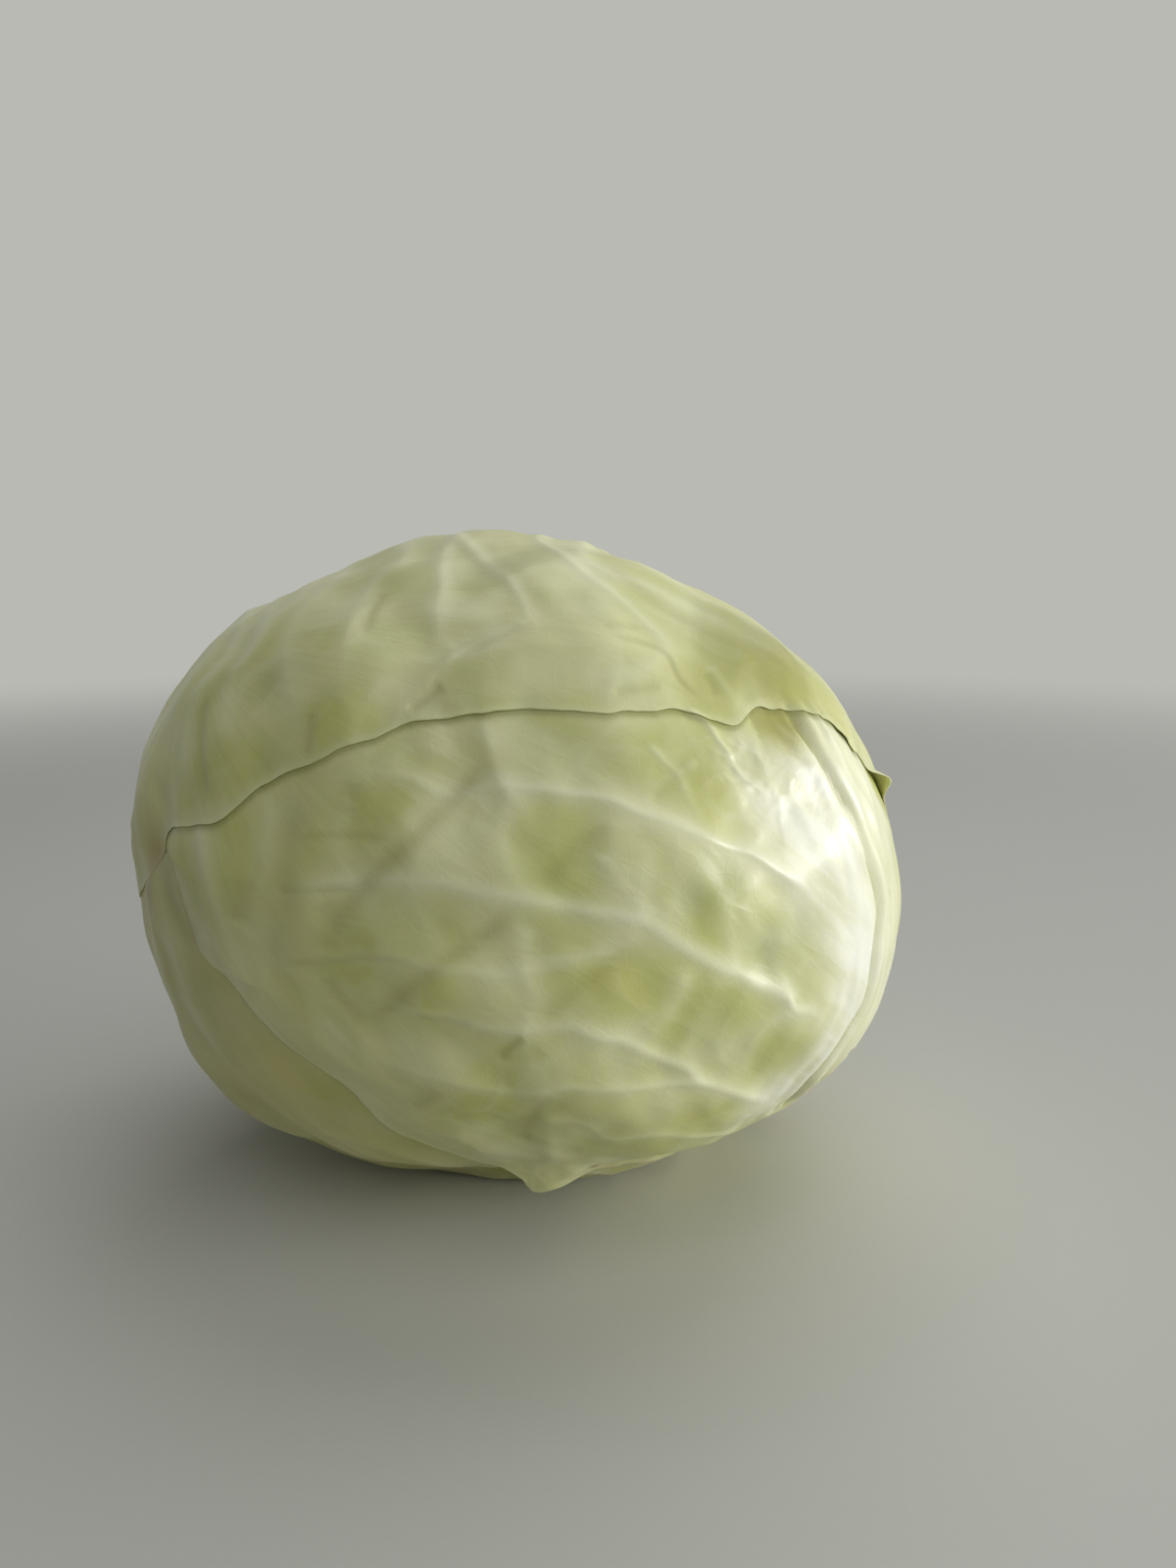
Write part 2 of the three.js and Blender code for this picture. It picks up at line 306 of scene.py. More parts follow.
frontLeaf = {
    "name": "front_leaf",
    "centre": [42, -2],
    "outline": [
        [-60, 13], [-55, 11], [-51, 9], [-48, 5], [-46, 1], [-43, -1], [-39, -2], [-36, -4.5],
        [-33, -9], [-30, -12], [-26, -15], [-22, -19], [-20.5, -25], [-18, -29.5], [-13, -34.5],
        [-7, -40.5], [-1, -42.5], [3, -45], [8, -50], [22, -50], [36, -50], [56, -52],
        [78, -54], [95, -50], [101, -42], [104, -31], [111, -20], [118, -6], [120, 14],
        [108, 30], [84, 42], [52, 50], [16, 52], [-18, 48], [-48, 34], [-58, 20],
    ],
    "rib": {
        "along": [[104, -42], [90, -38], [80, -26], [76, -10], [71, 6], [63, 20], [53, 33],
                  [36, 45]],
        "width": 11, "rise": 1.2,
    },
    "lift": ([7, -50], 8, 5.0),
    "tuck": 1.95,
    "rimThickness": 0.15,
    "seam": 0.3,
    "laterals": {"count": 5, "angle": 42, "bend": -6, "length": 50, "sides": [-1]},
    "drawn": ([18, 0], 62),
    "core": 0.34,
    "groove": {
        "along": [[53, 34], [53.5, 30], [53.5, 27], [54.5, 23.5], [55.5, 20], [57, 16], [58.5, 12],
                  [60, 8], [61.5, 4], [62, 1], [61.5, -3], [61, -7], [60, -12], [58, -16],
                  [56, -20], [55, -24], [57, -29], [62, -34]],
        "depth": 1.25, "width": 1.05, "roll": 0.25, "tissue": 11,
        "ridges": [(2.9, 1.3, 0.45), (6.2, 1.3, 0.2)],
    },
    "dents": [([50, 31], 4, -1.6), ([26, 10], 3, -0.7), ([38, 1], 3, -0.8), ([31, 13], 2.5, -0.5),
              ([27, 27], 4, -0.4), ([45, 4], 4, -0.4), ([-5, 30], 4, -0.3), ([12, 30], 4, -0.3),
              ([28, -7], 5, -0.5), ([12, 17], 4, -0.4), ([23, 15], 3, -0.3), ([2, -24], 6, -0.8),
              ([16, -36], 6, -0.6)],
    "crinkles": [([37, 27], 5, 0.13), ([41, 20], 4, 0.08), ([50, 24], 5, 0.08)],
    # Partly whiter tissue along the groove, partly painted light: the lit side of the groove,
    # highlights on the crinkles, and under the rim of the leaf above.
    "white": [([51, 22], 5.5, 0.8), ([49, 13], 7.5, 0.9), ([53, 7], 6, 0.95), ([56, 1], 5.5, 0.95),
              ([57, -5], 5.5, 0.95), ([57, -10], 4.5, 0.9), ([55, -16], 4.5, 0.85),
              ([52, -22], 4.5, 0.85), ([47, -27], 5, 0.8), ([38, 27], 4, 0.4),
              ([41, 21], 4, 0.45), ([45, 25], 4, 0.45), ([44, 18], 4, 0.4), ([7, -36], 9, 0.3),
              ([-4, 30], 8, 0.3)],
    "cells": 288,
    "seed": 15,
    "veins": [
        ([[47, 6], [44, 9], [40, 12], [36, 15], [31, 17], [25, 20],
          [20, 22], [16, 24], [11, 25], [5, 26], [-2, 26], [-6, 25], [-12, 27], [-19, 27],
          [-26, 26]], 2.1, 0.6, 0.85),
        ([[51, -12], [47, -9], [44, -8], [41, -5], [37, -3], [34, -1], [30, 1],
          [24, 5], [20, 8], [17, 9], [13, 10], [9, 11], [4, 12], [-2, 13], [-6, 14], [-10, 14],
          [-15, 14], [-21, 13], [-28, 11], [-36, 9]], 2.0, 0.5, 0.95),
        ([[20, 7], [16, 5], [11, 4], [6, 3.5], [1, 2.5], [-4, 3], [-10, 3.5], [-16, 4], [-22, 3],
          [-30, 1]], 1.7, 0.35, 0.5),
        ([[48, -26], [35, -20], [31, -18], [28, -15], [23, -12], [20, -10], [17, -8], [14, -7],
          [10, -5], [6, -5], [2, -5], [-4, -4], [-10, -3], [-17, -2]], 2.0, 0.55, 0.8),
        ([[34, -20], [29, -18], [22, -17], [15, -16], [10, -15], [4, -16], [-1, -15], [-7, -13],
          [-14, -11], [-20, -8]], 2.2, 0.4, 0.45),
        ([[50, -37], [42, -34], [31, -30], [25, -28.5], [18, -29], [14, -24.5], [10, -23],
          [5, -25]], 2.0, 0.45, 0.5),
        ([[20, 8], [19, 11], [20, 15], [20.5, 19]], 3.2, 0.3, 0.45),
        ([[33, -1], [32, 4], [31, 8], [31, 12]], 3.2, 0.3, 0.5),
        ([[33, 9], [36, 5], [39, 3], [43, 2]], 2.6, 0.25, 0.4),
        ([[43, -7], [41, -3], [40, 0], [38, 3]], 2.4, 0.25, 0.35),
        ([[25, 2], [25, -1], [24, -4], [20, -9]], 2.8, 0.3, 0.45),
        ([[44, -8], [39, -10], [38, -13], [40, -20]], 2.8, 0.25, 0.35),
        ([[-2, 36], [-1, 33], [0, 29], [2, 25], [1, 21], [2, 16], [4, 11]], 2.8, 0.35, 0.3),
        ([[4, 10], [4, 3], [5, -1], [4, -6], [6, -16]], 2.6, 0.3, 0.4),
        ([[14, 17], [17, 13], [20, 9]], 2.6, 0.3, 0.5),
        ([[31, 35], [34, 33], [35.5, 30], [36.5, 28], [37.5, 25], [40.5, 22.5], [42.5, 20.5]],
         0.9, 0.5, 0.6),
        ([[23, 31], [25, 28.5], [27, 26.5], [28, 23], [29, 19]], 1.2, 0.25, 0.4),
        ([[31, 28], [27, 26.5], [22, 25]], 1.2, 0.2, 0.35),
        ([[-44, 18], [-41, 13], [-39, 9], [-36, 4], [-35, -1]], 3.0, 0.55, 0.5),
        ([[-34, 24], [-32, 19], [-31, 14], [-32, 9], [-32, 3]], 3.2, 0.3, 0.3),
        ([[-20, 24], [-21, 19], [-19, 14]], 3.0, 0.25, 0.3),
        ([[7, -20], [8, -28], [9, -37], [9, -48]], 4.6, 0.6, 0.15),
    ],
    "creases": [
        ([[16, 20.5], [13, 19], [8, 15], [6, 13]], 1.2, 0.1, 0.4),
        ([[3, 11], [0, 8], [-4, 5.5], [-9, 1.5], [-14, -3], [-17, -5]], 1.1, 0.12, 0.5),
        ([[18, 6], [14, 2.5], [9, -1], [6, -4]], 1.2, 0.1, 0.4),
        ([[4, -6], [2, -8], [1, -10]], 0.7, 0.05, 0.7),
        ([[0, 29], [-4, 26.5], [-8, 22], [-12, 17.5], [-17, 12.5], [-20, 8], [-22, 3]],
         1.2, 0.15, 0.5),
        ([[29, 28], [22, 23]], 1.2, 0.1, 0.35),
        ([[-22, 1], [-20, -2], [-17, -6]], 1.3, 0.12, 0.35),
        ([[8, -16.5], [6, -19], [4.5, -24], [4, -32]], 1.4, 0.15, 0.35),
        ([[-8, -15], [-13, -20]], 1.4, 0.15, 0.4),
        ([[-29, 24], [-28, 13], [-28, 7], [-30, -1]], 2.6, 0.3, 0.35),
        ([[-22, 11], [-21.5, 4]], 1.6, 0.15, 0.3),
        ([[-20, 26], [-20, 21]], 1.6, 0.15, 0.3),
        ([[-34, 12], [-34, 6]], 2.2, 0.2, 0.3),
        ([[-60, 13], [-54, 9], [-49, 4], [-44, 0]], 1.8, 0.1, 0.55),
        # Painted shade in the hollow under the rim of the leaf above.
        ([[43, 32.5], [47, 32], [50.5, 31], [53.5, 28]], 4.0, 0.3, 1.0),
        ([[-27, 18], [-20, 19], [-13, 19]], 0.5, 0.12, 0.3),
        ([[-29, 11], [-23, 12], [-18, 12.5]], 0.5, 0.15, 0.4),
        ([[-28, 2], [-21, 3], [-15, 4], [-8, 3]], 0.5, 0.15, 0.4),
        ([[-10, -3.5], [-5, -4], [-2, -4.5]], 0.5, 0.12, 0.3),
    ],
    "yellow": [([50, 30.5], 4.5, 0.95), ([8, -42], 7, 0.3), ([-14, -32], 9, 0.35),
               ([60, -25], 5, 0.4), ([-5, 31], 6, 0.3)],
    "brown": [([20, -43], 0.8, 0.9), ([63, -27], 4, 0.55), ([-8, -45], 5, 0.15),
              ([68, 2.5], 0.5, 0.5), ([67, -0.5], 0.5, 0.5)],
    # Partly the leaf's greener tone, partly painted shade in the dents and in the hollow under the
    # rim of the leaf above.
    "green": [([48.5, 30.5], 5, 0.95), ([26, 11], 4, 0.7), ([38, 1], 4, 0.8), ([31, 12], 4, 0.7),
              ([14, 30], 6, 0.45), ([27, 29], 5, 0.5), ([28, -6], 7, 0.45), ([10, 17], 6, 0.5),
              ([8, 7], 6, 0.4), ([-17, 8], 6, 0.35), ([45, -4], 5, 0.4), ([44, 3], 5, 0.5)],
}
upperLeaf = {
    "name": "upper_leaf",
    "centre": [180, 50],
    "outline": [
        [-63, 6], [-58, 11], [-55, 14], [-50, 16], [-46, 17], [-41, 18], [-38, 20.5], [-35, 23.5],
        [-32, 25.5], [-27, 27.5], [-23, 30], [-18, 32], [-13, 34.5], [-8, 35.5], [-2, 36],
        [5, 36.5], [11, 36], [17, 35], [24, 35], [29, 35], [33, 34], [37, 32.5], [40, 32],
        [43, 33], [47, 34], [51, 33], [56, 31.5], [61, 29.5], [64, 27], [67, 24.5], [73, 22],
        [79, 18], [85, 11], [92, 3], [99, -9], [107, -20], [121, -25], [137, -30], [154, -28],
        [173, -20], [-170, -21], [-148, -18], [-122, -14], [-98, -9], [-78, -1],
    ],
    "rib": {"along": [[126, -22], [140, 4], [158, 32], [174, 62], [-20, 82]],
            "width": 10, "rise": 0.8},
    "laterals": {"count": 8, "angle": 44, "bend": 8, "length": 85},
    "drawn": ([4, 48], 52),
    "core": 0.14,
    "cells": 288,
    "seed": 16,
    "veins": [
        ([[165, 60], [172, 74], [-153, 84], [-60, 82], [-39, 77], [-14, 71], [-1, 63], [4, 57],
          [6, 52], [6.5, 48], [3, 43]], 1.7, 0.6, 0.75),
        ([[160, 62], [158, 74], [110, 84], [35, 82], [20, 76], [22, 66], [25, 59], [30, 51],
          [33, 45], [32.5, 40], [35, 35]], 1.7, 0.55, 0.65),
        ([[145, 56], [135, 66], [115, 74], [80, 78], [45, 74], [28, 66], [34, 60], [46, 54],
          [55, 46], [61, 36.5], [67, 29]], 3.4, 1.15, 0.6),
        ([[-112, 44], [-82, 46], [-60, 42], [-55, 33], [-52, 27], [-48, 22], [-43, 18.5]],
         2.4, 0.5, 0.6),
        ([[-115, 50], [-80, 52], [-53, 45], [-49, 37], [-46, 32], [-42, 28], [-40, 23]],
         2.2, 0.45, 0.5),
        ([[-110, 60], [-80, 58], [-56, 52], [-52, 45], [-48, 38]], 2.6, 0.45, 0.55),
        ([[-140, 74], [-105, 68], [-75, 63], [-54, 56], [-45, 46], [-37, 39], [-32, 34],
          [-31, 30], [-32, 26.5]], 2.4, 0.5, 0.55),
        ([[-150, 80], [-110, 78], [-70, 73], [-42, 66], [-41, 60], [-33, 51], [-28, 43],
          [-25, 38], [-23, 34]], 2.3, 0.5, 0.6),
        ([[-45, 79], [-30, 70], [-18, 60], [-13, 50], [-11, 44]], 2.2, 0.45, 0.55),
        ([[6, 50], [-1, 48], [-7, 45], [-14, 38]], 1.6, 0.25, 0.35),
        ([[33, 44], [26, 41], [19, 40], [12, 41]], 1.8, 0.2, 0.35),
        ([[40, 41], [41, 37], [42, 34]], 1.4, 0.2, 0.3),
        ([[61, 30.5], [63.5, 28.5], [65.5, 26.5]], 0.8, 0.8, 0.1),
        ([[140, 48], [120, 60], [90, 68], [60, 66], [68, 58], [74, 50], [71, 42], [68, 34]],
         2.0, 0.45, 0.45),
    ],
    "creases": [
        ([[-53, 33], [-48, 27], [-43, 20]], 1.2, 0.3, 0.5),
        # The next two are broad bands of painted shade below the ridge; the second has no depth.
        ([[38, 41], [47, 40], [57, 35]], 5.5, 0.2, 0.4),
        ([[44, 50], [52, 45], [60, 41], [68, 37]], 9, 0.0, 0.65),
        ([[-29, 34], [-28.5, 28]], 1.1, 0.25, 0.4),
        ([[-9, 40], [-14, 36]], 1.1, 0.25, 0.4),
        ([[21, 46], [27, 45], [31, 43], [32, 39], [35, 36]], 0.7, 0.2, 0.4),
        ([[20, 48], [29, 48]], 0.7, 0.15, 0.3),
        ([[28, 38.5], [19, 37.5]], 0.8, 0.2, 0.4),
        ([[38, 40], [38, 36]], 1.2, 0.2, 0.3),
        ([[5, 50], [-1, 47], [-8, 44]], 1.0, 0.2, 0.3),
        ([[33, 64], [36, 56], [44, 49], [54, 42], [62, 33]], 1.6, 0.25, 0.45),
        ([[64, 42], [66, 36]], 0.9, 0.2, 0.35),
        ([[-33, 57], [-27, 46]], 1.2, 0.2, 0.3),
    ],
    "yellow": [([66, 27], 3.5, 0.95), ([80, 18], 4, 0.45), ([-60, 12], 7, 0.6), ([55, 34], 7, 0.4),
               ([64, 36], 8, 0.35)],
    "brown": [([-60, 10], 4, 0.5)],
    # The two large marks at the right are painted shade below the ridge; the small ones are the
    # leaf's greener tone.
    "green": [([-40, 37], 3, 0.6), ([-34, 27], 2.5, 0.6), ([-53, 35], 3, 0.5), ([-4, 41], 5, 0.3),
              ([22, 40], 3, 0.4), ([30, 53], 5, 0.3), ([50, 42], 11, 1.0), ([62, 40], 9, 0.9)],
    # Painted light on the small flap, which faces away from the lamps.
    "white": [([80, 17], 4, 0.6)],
    "flares": [([80, 16], 2.4, 3.6), ([65, 27], 2, 0.3)],
    "dents": [([62, 43], 7, 1.8), ([40, 42], 7, -0.8)],
    "ragged": ([72, 23], 5, 0.7),
    "flush": ([-63, 7], 9),
}
leaves = [rightLeaf, underLeaf, rearLeaf, leftLeaf, frontLeaf, upperLeaf]
leafDefaults = {
    "veins": [], "creases": [], "yellow": [], "brown": [], "green": [], "white": [],
    "flares": [], "dents": [], "crinkles": [],
    "laterals": {"count": 5, "angle": 48, "bend": 10, "length": 60},
    "core": 0.3,  # the sharp part of a vein
    "drawn": ([0, 90], -20),  # the place and size with no side veins, since its own are listed
    "tuck": 1.85,  # how far the rim is pressed down
    "rimThickness": 0.25,
    # The next value sets how dark the painted shadow is on the leaf under this one, beside this
    # leaf's rim.
    "seam": 0.8,  # how dark the leaf under it is beside its rim
    "flush": ([0, 0], 0.01),  # where the rim sinks into the leaf under it, and its size
}


sideVeinLook = {
    "main": (2.4, 0.5, 0.65),
    "fork": (2.0, 0.15, 0.25),
    "forksAt": [(0.35, 1), (0.6, -1)],  # share of the vein's length, and the side
    "forkAngle": 38,
    "forkBend": 14,
    "forkLength": 0.25,
}


# Veins that leave the rib on both sides in turn, and curve towards its end. Each one forks.
def sideVeins(leaf):
    look = sideVeinLook
    plan = leaf["laterals"]
    random = np.random.default_rng(leaf["seed"])
    line, left = leaf["ribPath"]
    made = []
    for k in range(plan["count"]):
        for side in plan.get("sides", [-1, 1]):
            share = (k + 0.35 + 0.3 * (side > 0) + random.uniform(-0.1, 0.1)) / plan["count"]
            at = int(np.clip(share, 0, 0.97) * (len(line) - 2))
            ahead = unit(line[at + 1] - line[at])
            turn = math.radians(plan["angle"] + random.uniform(-6, 6)) * side
            heading = ahead * math.cos(turn) + left[at] * math.sin(turn)
            length = plan["length"] * random.uniform(0.8, 1.1)
            main = walk(line[at], heading, -plan["bend"] * side, length, random)
            made.append((main, *look["main"]))
            for part, way in look["forksAt"]:
                start = int(part * (len(main) - 2))
                onward = unit(main[start + 1] - main[start])
                across = np.cross(main[start], onward)
                fork = math.radians(look["forkAngle"]) * way
                branch = onward * math.cos(fork) + across * math.sin(fork)
                twig = walk(main[start], branch, -look["forkBend"] * way,
                            length * look["forkLength"], random)
                made.append((twig, *look["fork"]))
    return made


# A path that starts one way and bends by so many degrees every 20.
def walk(start, heading, bend, length, random):
    points = [start]
    step = math.radians(4)
    here, way = start, heading
    for _ in range(max(3, int(length / 4))):
        here, way = (here * math.cos(step) + way * math.sin(step),
                     way * math.cos(step) - here * math.sin(step))
        swing = math.radians(bend / 5 + random.uniform(-3, 3))
        way = unit(way * math.cos(swing) + np.cross(here, way) * math.sin(swing))
        points.append(here)
    return np.array(points)


# How a rim strays from its outline: size in degrees, length in millimetres and seed.
rimWander = {"steps": 2400, "waves": [(0.12, 12, 40), (0.05, 4, 41)], "tear": 4.5}


def pathsThrough(marked):
    return [(pathThrough(direction(places)), *rest) for places, *rest in marked]


# Fills in what a leaf's dictionary leaves out, and works out its rim and its lines.
def prepare(leaf):
    for key, value in leafDefaults.items():
        leaf.setdefault(key, value)
    leaf["middle"] = direction(leaf["centre"])
    leaf["axes"] = axesAround(leaf["middle"])
    towards = direction(leaf["outline"])
    distance = degreesBetween(towards, leaf["middle"])
    angle = angleAround(towards, leaf["axes"])
    flat = np.stack([distance * np.cos(angle), distance * np.sin(angle)], -1)
    curve = closedCurve(flat, 24)
    angles = np.arctan2(curve[:, 1], curve[:, 0])
    order = np.argsort(angles)
    angles, reach = angles[order], np.hypot(curve[:, 0], curve[:, 1])[order]
    even = np.linspace(-math.pi, math.pi, rimWander["steps"], endpoint=False)
    reach = np.interp(even, angles, reach, period=2 * math.pi)
    spots = away(leaf["middle"], leaf["axes"], reach, even) * meanRadius
    for size, length, seed in rimWander["waves"]:
        reach = reach + size * softNoise(spots, length, leaf["seed"] + seed)
    if "ragged" in leaf:
        place, spread, size = leaf["ragged"]
        near = bump(spots / meanRadius, place, spread)
        reach = reach + size * near * softNoise(spots, rimWander["tear"], leaf["seed"] + 42)
    leaf["rimAngles"], leaf["rimReach"] = even, reach
    leaf["ribPath"] = pathThrough(direction(leaf["rib"]["along"]), 1)
    if "groove" in leaf:
        leaf["groove"]["path"] = pathThrough(direction(leaf["groove"]["along"]))
    leaf["veinPaths"] = pathsThrough(leaf["veins"])
    leaf["creasePaths"] = pathsThrough(leaf["creases"])
    leaf["sidePaths"] = [(pathThrough(points, 1), *rest) for points, *rest in sideVeins(leaf)]


def rimReach(leaf, angle):
    return np.interp(angle, leaf["rimAngles"], leaf["rimReach"], period=2 * math.pi)


# Degrees inside a leaf's rim, or less than 0 outside it.
def inside(leaf, towards):
    angle = angleAround(towards, leaf["axes"])
    return rimReach(leaf, angle) - degreesBetween(towards, leaf["middle"])


def ribRise(leaf, towards):
    far, _ = reachTo(towards, leaf["ribPath"])
    return leaf["rib"]["rise"] * hill(far / mmPerDegree, leaf["rib"]["width"])


def ownLift(leaf, towards):
    return bump(towards, *leaf["lift"]) if "lift" in leaf else 0


# Distance in millimetres to the edge between two cells of an even net over the head.
def cellEdge(towards, size, seed):
    count = int(4 * math.pi * meanRadius ** 2 / size ** 2)
    random = np.random.default_rng(seed)
    k = np.arange(count) + 0.5
    lift = np.arcsin(1 - 2 * k / count)
    turn = k * math.pi * (3 - math.sqrt(5))
    seeds = np.stack([np.cos(turn) * np.cos(lift), np.sin(turn) * np.cos(lift), np.sin(lift)], -1)
    seeds = unit(seeds + random.normal(size=seeds.shape) * size / meanRadius * 0.27)
    seeds = seeds.astype(np.float32)
    spots = towards * meanRadius
    warp = np.stack([softNoise(spots, size * 1.6, seed + 1 + i, 12) for i in range(3)], -1)
    moved = unit(towards + warp * size / meanRadius * 0.16).astype(np.float32)
    edge = np.empty(len(towards))
    for start in range(0, len(towards), 6000):
        close = moved[start:start + 6000] @ seeds.T
        best = -np.partition(-close, 1, axis=1)[:, :2]
        far = np.arccos(np.clip(best, -1, 1)) * meanRadius
        edge[start:start + 6000] = (far[:, 1] - far[:, 0]) / 2
    return edge


# Adds raised pale lines along paths. Where there is a mask, they fade with it.
def addVeins(paths, towards, height, pale, core, mask=None):
    for path, width, rise, strength in paths:
        near = nearPath(towards, path, width * 3)
        far, along = reachTo(towards[near], path)
        body = (1 - 0.7 * along) * smooth((1 - along) / 0.2 + 0.05) * smooth(along / 0.12 + 0.1)
        if mask is not None:
            body = body * mask[near]
        soft = hill(far, width)
        crest = hill(far, width * 0.36)
        height[near] += rise * ((1 - core) * soft + core * crest) * body
        pale[near] = join(pale[near], strength * ((1 - core) * soft + core * crest) * body)


faceLook = {  # cells, lines, patches and lengths in millimetres
    "net": {"cell": 11, "line": 1.0, "patch": 30, "rise": 0.05, "pale": 0.1},
    "swell": {"length": 9, "rise": 0.07},
    "bloom": {"length": 17, "pale": 0.22},
    # The fold's paleness is a painted highlight on the crests of the crinkles.
    "fold": {"lengths": (7, 4), "second": 0.6, "pale": 0.3},
}


def foldNoise(points, length, seed):
    return 1 - 2 * np.abs(np.tanh(softNoise(points, length, seed)))


# What shows on a leaf's face: its height, and masks for the colours.
def relief(leaf, towards):
    net, swell, bloom, fold = (faceLook[k] for k in ("net", "swell", "bloom", "fold"))
    seed = leaf["seed"]
    height = np.zeros(len(towards))
    pale = np.zeros(len(towards))
    dark = np.zeros(len(towards))
    place, size = leaf["drawn"]
    others = smooth((degreesBetween(towards, direction(place)) - size) / 12)
    addVeins(leaf["veinPaths"], towards, height, pale, leaf["core"])
    addVeins(leaf["sidePaths"], towards, height, pale, 0.25, others)
    # Creases sink the face and carry painted shade along them.
    for path, width, depth, strength in leaf["creasePaths"]:
        near = nearPath(towards, path, width * 3)
        far, along = reachTo(towards[near], path)
        body = smooth(along / 0.15 + 0.1) * smooth((1 - along) / 0.2 + 0.05)
        height[near] -= depth * hill(far, width) * body
        dark[near] = join(dark[near], strength * hill(far, width * 1.5) * body)
    for dent in leaf["dents"]:
        height += bump(towards, *dent)
    spots = towards * meanRadius
    # Crinkles, with a painted highlight laid on their crests.
    for place, size, rise in leaf["crinkles"]:
        near = bump(towards, place, size)
        wide, fine = fold["lengths"]
        folds = foldNoise(spots, wide, seed + 5)
        folds = folds + fold["second"] * foldNoise(spots, fine, seed + 6)
        height += rise * near * folds
        pale = join(pale, fold["pale"] * near * smooth(folds))
    lines = hill(cellEdge(towards, net["cell"], seed), net["line"])
    patchy = smooth(0.5 + 0.5 * softNoise(spots, net["patch"], seed + 7))
    swelling = softNoise(spots, swell["length"], seed + 8)
    height += net["rise"] * lines * patchy + swell["rise"] * swelling
    pale = join(pale, net["pale"] * lines * patchy)
    blooming = smooth(0.45 + 0.4 * softNoise(spots, bloom["length"], seed + 10))
    pale = join(pale, bloom["pale"] * blooming)
    if "groove" in leaf:
        addGroove(leaf["groove"], towards, height, pale, dark)
    return {"height": height, "pale": pale, "dark": dark}


grooveLook = {
    "reach": 30,
    "centre": 0.3,
    "rib": 16,
    "grain": 3.4,
    "grainRise": 0.16,
    "pale": {"rib": (0.76, 0.12), "beside": (0.75, 0.2)},  # with the part that the grain adds
    # Strength and width of the painted shade along the bottom of the groove.
    "dark": 0.8,
    "darkWidth": 0.55,
}


# The groove between a leaf's blade and its broad middle rib, which has ridges along it.
def addGroove(groove, towards, height, pale, dark):
    look = grooveLook
    path = groove["path"]
    near = nearPath(towards, path, look["reach"])
    far, along = reachTo(towards[near], path)
    body = smooth(along / 0.1 + 0.2) * smooth((1 - along) / 0.06)
    middle = far - look["centre"]
    height[near] -= groove["depth"] * hill(middle, groove["width"]) * body
    height[near] += groove["roll"] * hill(far + 3.2, 2.6) * body
    for offset, width, rise in groove["ridges"]:
        height[near] += rise * hill(far - offset, width) * body
    grain = softNoise(np.stack([far, along * 14], -1), look["grain"], 61)
    inRib = smooth(far / 1.5) * (1 - smooth((far - look["rib"]) / 8)) * body
    beside = smooth(-far / 1.5) * hill(far, groove["tissue"]) * body
    height[near] += look["grainRise"] * grain * (inRib + beside)
    for part, (plain, grained) in zip((inRib, beside), look["pale"].values()):
        pale[near] = join(pale[near], part * (plain + grained * grain).clip(0, 1))
    # Painted shade along the bottom of the groove.
    dark[near] = join(dark[near], look["dark"] * hill(middle, look["darkWidth"]) * body)


def exposure(leaf, towards):  # 0 where another leaf covers it
    shown = np.ones(len(towards))
    for other in leaves[leaves.index(leaf) + 1:]:
        shown *= 1 - smooth(inside(other, towards) / 6)
    return shown


def flushAt(leaf, towards):
    return bump(towards, *leaf["flush"])


# How much a leaf inside lifts one that lies over it. The one on top comes down slowly past the
# rim of the other, but at its own rim it is pressed against what is under it.
def liftBy(other, towards, closeness):
    rise = layers["thickness"] + layers["gap"] + ribRise(other, towards) + ownLift(other, towards)
    start, end = layers["overhang"]
    depth = inside(other, towards)
    slow = rise * (1 - smooth((-depth - start) / (end - start)))
    depth = depth * mmPerDegree
    close = rise - other["tuck"] * (1 - smooth(depth / layers["tuckWidth"]))
    close = close * (1 - smooth(-depth / layers["rimOverhang"]))
    return slow + (close - slow) * closeness


# How high above the head a leaf's outer face lies, over the leaves inside it.
def outerHeight(leaf, towards, margin, own):
    height = layers["gap"] + layers["thickness"] + ribRise(leaf, towards) + ownLift(leaf, towards)
    closeness = hill(np.maximum(margin, 0), layers["tuckWidth"])
    for other in reversed(leaves[:leaves.index(leaf)]):
        height += liftBy(other, towards, closeness)
        closeness = closeness * (1 - smooth((inside(other, towards) + 5) / 5))
    tuck = leaf["tuck"] * (1 + 0.03 * softNoise(towards * meanRadius, 24, leaf["seed"] + 21))
    tuck = tuck + (layers["thickness"] + layers["gap"] - tuck) * flushAt(leaf, towards)
    height -= tuck * (1 - smooth(margin / layers["tuckWidth"]))
    for flare in leaf["flares"]:
        height += bump(towards, *flare) * hill(margin, 4)
    return height + own * exposure(leaf, towards)


def ringOf(side):  # the points along the edge of a square grid, once around
    grid = np.arange((side + 1) ** 2).reshape(side + 1, side + 1)
    return np.concatenate([grid[0, :-1], grid[:-1, -1], grid[-1, :0:-1], grid[:0:-1, 0]])


def gridFaces(side):  # each square is split along the way that keeps the corners open
    grid = np.arange((side + 1) ** 2).reshape(side + 1, side + 1)
    a, b, c, d = (g.ravel() for g in (grid[:-1, :-1], grid[:-1, 1:], grid[1:, 1:], grid[1:, :-1]))
    row, column = np.divmod(np.arange(side * side), side)
    same = (row < side / 2) == (column < side / 2)
    first = np.where(same[:, None], np.stack([a, b, c], -1), np.stack([a, b, d], -1))
    second = np.where(same[:, None], np.stack([a, c, d], -1), np.stack([b, c, d], -1))
    return np.vstack([first, second])


